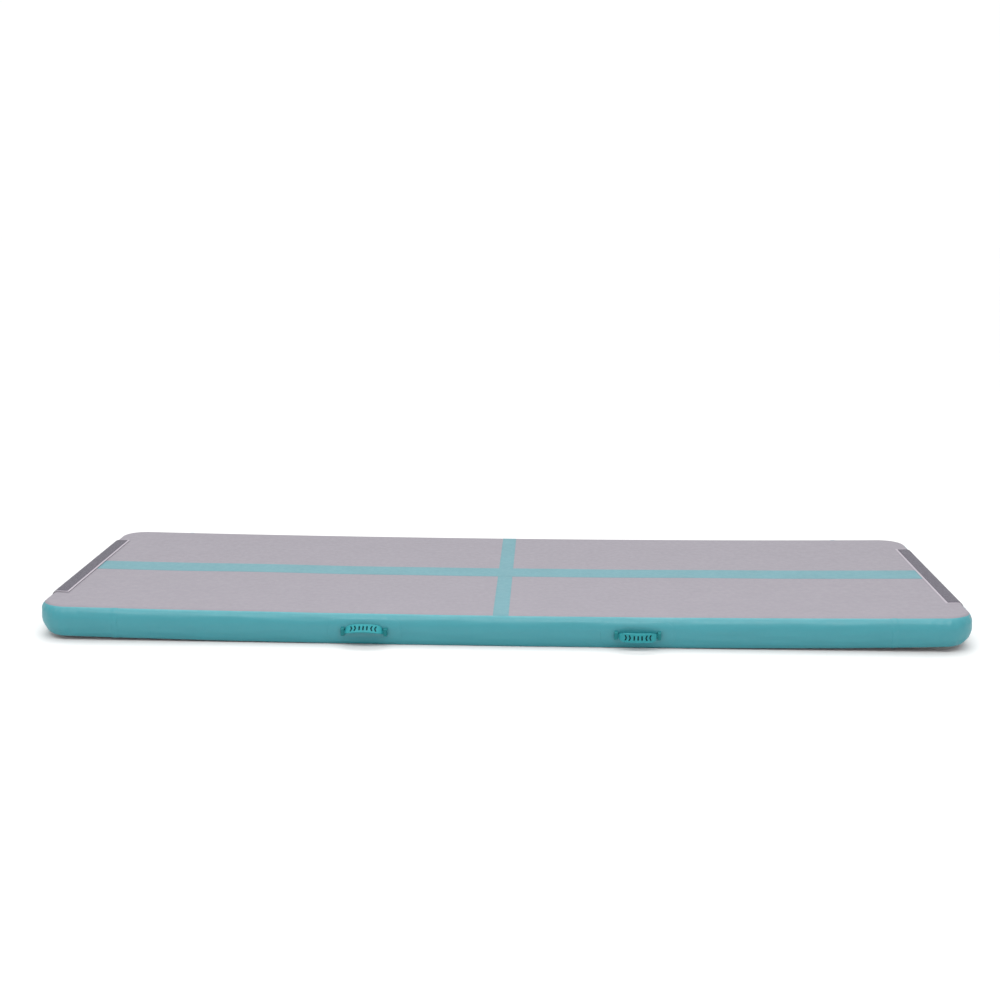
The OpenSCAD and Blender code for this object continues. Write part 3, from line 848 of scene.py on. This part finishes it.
def make_grip(place, pivot, side, tilt):
    """A moulded strap grip, arched outward between its two pins and narrower towards them."""
    grip = softened(f"{place}_grip", f"{place}_handle_grip", 0.75 * MM, 3)
    points = vertices(grip) - np.array(pivot)
    reach, tall = turned(side * points[:, 1], points[:, 2], -tilt)
    x = np.abs(points[:, 0])
    band = (reach > 0) & (x < 60.2 * MM) & (x > 0)
    x_band, reach_band = np.minimum(x[band], 60 * MM), reach[band]
    moved = reach.copy()
    hub = step(np.hypot(reach_band, tall[band]), 6 * MM, 9 * MM)
    moved[band] = reach_band + (arched(x_band, reach_band) - reach_band) * hub
    narrowed = half_height(moved[band], WIDENS) / half_height(reach_band, CAD_WIDENS)
    tall[band] *= 1 + (narrowed - 1) * hub
    out, up = turned(moved, tall, tilt)
    place_vertices(grip, np.stack([points[:, 0], side * out, up], -1) + np.array(pivot))
    finish_piece(grip, RUBBER, f"{place}_grip", "teal_rubber", f"{place}_handle_grip", sharp=0)


def make_grip_slot_shade(place, pivot, side, tilt):
    """Painted shade inside a grip: a dark sheet behind the band, seen through its cut-outs as their
    shade.
    """
    span, rise, thick = ARCH
    x, tall = np.meshgrid(np.linspace(-46, 46, 47) * MM, np.linspace(-11, 11, 12) * MM)
    share = (1 - (np.abs(x) / (span - thick / 2)) ** ARCH_POWER) ** (1 / ARCH_POWER)
    inner_face = (rise + thick / 2 - ARCH_DEPTH) * share

    def placed(reach):
        out, up = turned(reach, tall, tilt)
        return np.stack([x, side * out, up], -1) + np.array(pivot)

    sheets = [placed(inner_face + 1.2 * MM), placed(inner_face - 0.4 * MM)]
    shade_sheet = closed_sheet(f"{place}_grip_slot_shade", *(sheets if side < 0 else sheets[::-1]))
    finish_piece(shade_sheet, SLOT_SHADE, f"{place}_grip", "teal_rubber")


def make_lugs(place, side):
    """The two lugs that hold a grip's pins, sunk a little into the patch they are welded to. Their
    rubber is darkened with painted shade.
    """
    lugs = softened(f"{place}_lugs", f"{place}_handle_anchors", 0.75 * MM, 4)
    points = vertices(lugs)
    depth = side * points[:, 1] - HALF_W
    points[:, 1] -= side * 1.6 * MM * (1 - step(depth, 2 * MM, 3.5 * MM))
    place_vertices(lugs, points)
    finish_piece(lugs, SHADED_LUG_RUBBER, "mat", "teal_rubber", f"{place}_handle_anchors", sharp=0)


def make_handles():
    for joint_name, joint in JOINTS.items():
        if not joint_name.endswith("_grip_swing"):
            continue
        place = joint_name[:-len("_grip_swing")]
        pivot = joint["pos_m"]
        side = -1 if place.startswith("front") else 1
        make_patch(f"{place}_patch", f"{place}_handle", pivot[0], side, pivot[2])
        make_lugs(place, side)
        make_grip(place, pivot, side, TILT[place.split("_")[1]])
        make_grip_slot_shade(place, pivot, side, TILT[place.split("_")[1]])


def make_valve_patch():
    """A round patch on the rear wall, flat under the valve's flange and soft round its edge."""
    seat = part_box("valve_patch")[1].y
    radius = joined(np.linspace(21.2, 33, 8), np.linspace(33, 36, 6), np.linspace(36, 39, 9)) * MM
    turn = np.linspace(0, 2 * math.pi, 96, endpoint=False)
    r, a = np.meshgrid(radius, turn, indexing="ij")
    x, z = VALVE.x + r * np.cos(a), VALVE.z + r * np.sin(a)
    thin = taper(x)
    local = z - curl(x)
    local = np.where(local < HALF_H, (local - thin) / (1 - thin / HALF_H), local)
    inset = profile(angle_at_height(local), 0.0)[0]
    edge = np.sqrt(1 - (1 - np.clip((radius[-1] - r + 0.15 * MM) / (1.3 * MM), 0, 1)) ** 2)
    skin = HALF_W - inset
    outer = seat + (skin + 0.9 * MM * edge - seat) * step(r, 32.5 * MM, 37 * MM)
    inner = np.minimum(skin - 0.4 * MM, outer - 0.3 * MM)
    sheets = [np.stack([x, y, z], -1)[:, ::-1] for y in (outer, inner)]
    patch = closed_sheet("valve_round_patch", *sheets, wrap=True)
    finish_piece(patch, TEAL, "mat", "teal_pvc", "valve_patch")


def make_spring():
    """The valve's spring as its own piece, a copy of the CAD spring in steel."""
    spring = bpy.data.objects.new("spring_coil", frame["nodes"]["valve_spring"].data.copy())
    bpy.context.scene.collection.objects.link(spring)
    finish_piece(spring, STEEL, "mat", "spring_steel", "valve_spring")
    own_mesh(spring)


make_handles()
make_valve_patch()
make_spring()

# ---------------------------------------------------------------- CAD nodes that keep their shape

KEPT = {
    CLOTH: ["bottom_base_cloth", "top_base_cloth", "stitch_threads"],
    BLACK: ["valve_gasket", "valve_seal_disc", "valve_cap_seal", "valve_tether_ring",
            "valve_tether_eye"],
    PLASTIC: ["valve_nut", "valve_body", "valve_stem", "valve_disc_retainer", "valve_cap"],
}
for mat, names in KEPT.items():
    for name in names:
        node = frame["nodes"][name]
        node.data.materials.clear()
        node.data.materials.append(mat)

# ---------------------------------------------------------------- floor, light and camera


def make_floor():
    far = 30
    floor = new_mesh("floor", [(-far, -far, 0), (far, -far, 0), (far, far, 0), (-far, far, 0)],
                     [(0, 1, 2, 3)])

    def build(nodes, links, shader):
        shader.inputs["Base Color"].default_value = (0.71, 0.71, 0.71, 1)
        shader.inputs["Roughness"].default_value = 0.9
        shader.inputs["Specular IOR Level"].default_value = 0.1
    floor.data.materials.append(material("studio_floor", build))


def area_light(name, place, target, size, power):
    data = bpy.data.lights.new(name, "AREA")
    data.shape = "RECTANGLE"
    data.size, data.size_y = size
    data.energy = power
    lamp = bpy.data.objects.new(name, data)
    lamp.location = place
    lamp.rotation_euler = (Vector(target) - Vector(place)).to_track_quat("-Z", "Y").to_euler()
    bpy.context.scene.collection.objects.link(lamp)


def sky_light(name, lean, spread, power):
    """A wide, even light from above and a little behind, so the soft shadow falls in front."""
    data = bpy.data.lights.new(name, "SUN")
    data.energy = power
    data.angle = spread
    lamp = bpy.data.objects.new(name, data)
    lamp.rotation_euler = (-lean, 0, 0)
    bpy.context.scene.collection.objects.link(lamp)


def make_light():
    world = bpy.data.worlds.new("studio")
    world.use_nodes = True
    world.node_tree.nodes["Background"].inputs["Color"].default_value = (1, 1, 1, 1)
    world.node_tree.nodes["Background"].inputs["Strength"].default_value = 1.02
    bpy.context.scene.world = world
    area_light("overhead", (0, -0.3, 4.0), (0, -0.3, 0), (7.0, 3.0), 13)
    area_light("edge", (0, -1.6, 2.2), (0, -0.5, 0.08), (5.0, 0.5), 38)
    sky_light("sky", math.radians(25), math.radians(50), 1.4)


SENSOR = 36                                      # in millimetres, as Blender counts it


def make_camera():
    """The photograph's view, as focal length in picture widths, place and turns."""
    data = bpy.data.cameras.new("camera")
    data.sensor_width = SENSOR
    data.lens = 1.3396 * SENSOR
    data.clip_end = 100
    data.dof.use_dof = False
    camera = bpy.data.objects.new("camera", data)
    yaw, pitch, roll = -0.037, 0.2311, 0.0023
    level = math.cos(pitch)
    forward = Vector((math.sin(yaw) * level, math.cos(yaw) * level, -math.sin(pitch)))
    right = Vector((math.cos(yaw), -math.sin(yaw), 0))
    up = right.cross(forward)
    turned_right = math.cos(roll) * right + math.sin(roll) * up
    turned_up = math.cos(roll) * up - math.sin(roll) * right
    turn = Matrix((turned_right, turned_up, -forward)).transposed()
    camera.matrix_world = Matrix.Translation((0.147, -4.529, 1.4287)) @ turn.to_4x4()
    bpy.context.scene.collection.objects.link(camera)
    bpy.context.scene.camera = camera


make_floor()
make_light()
make_camera()
bpy.context.scene.view_settings.view_transform = "Standard"
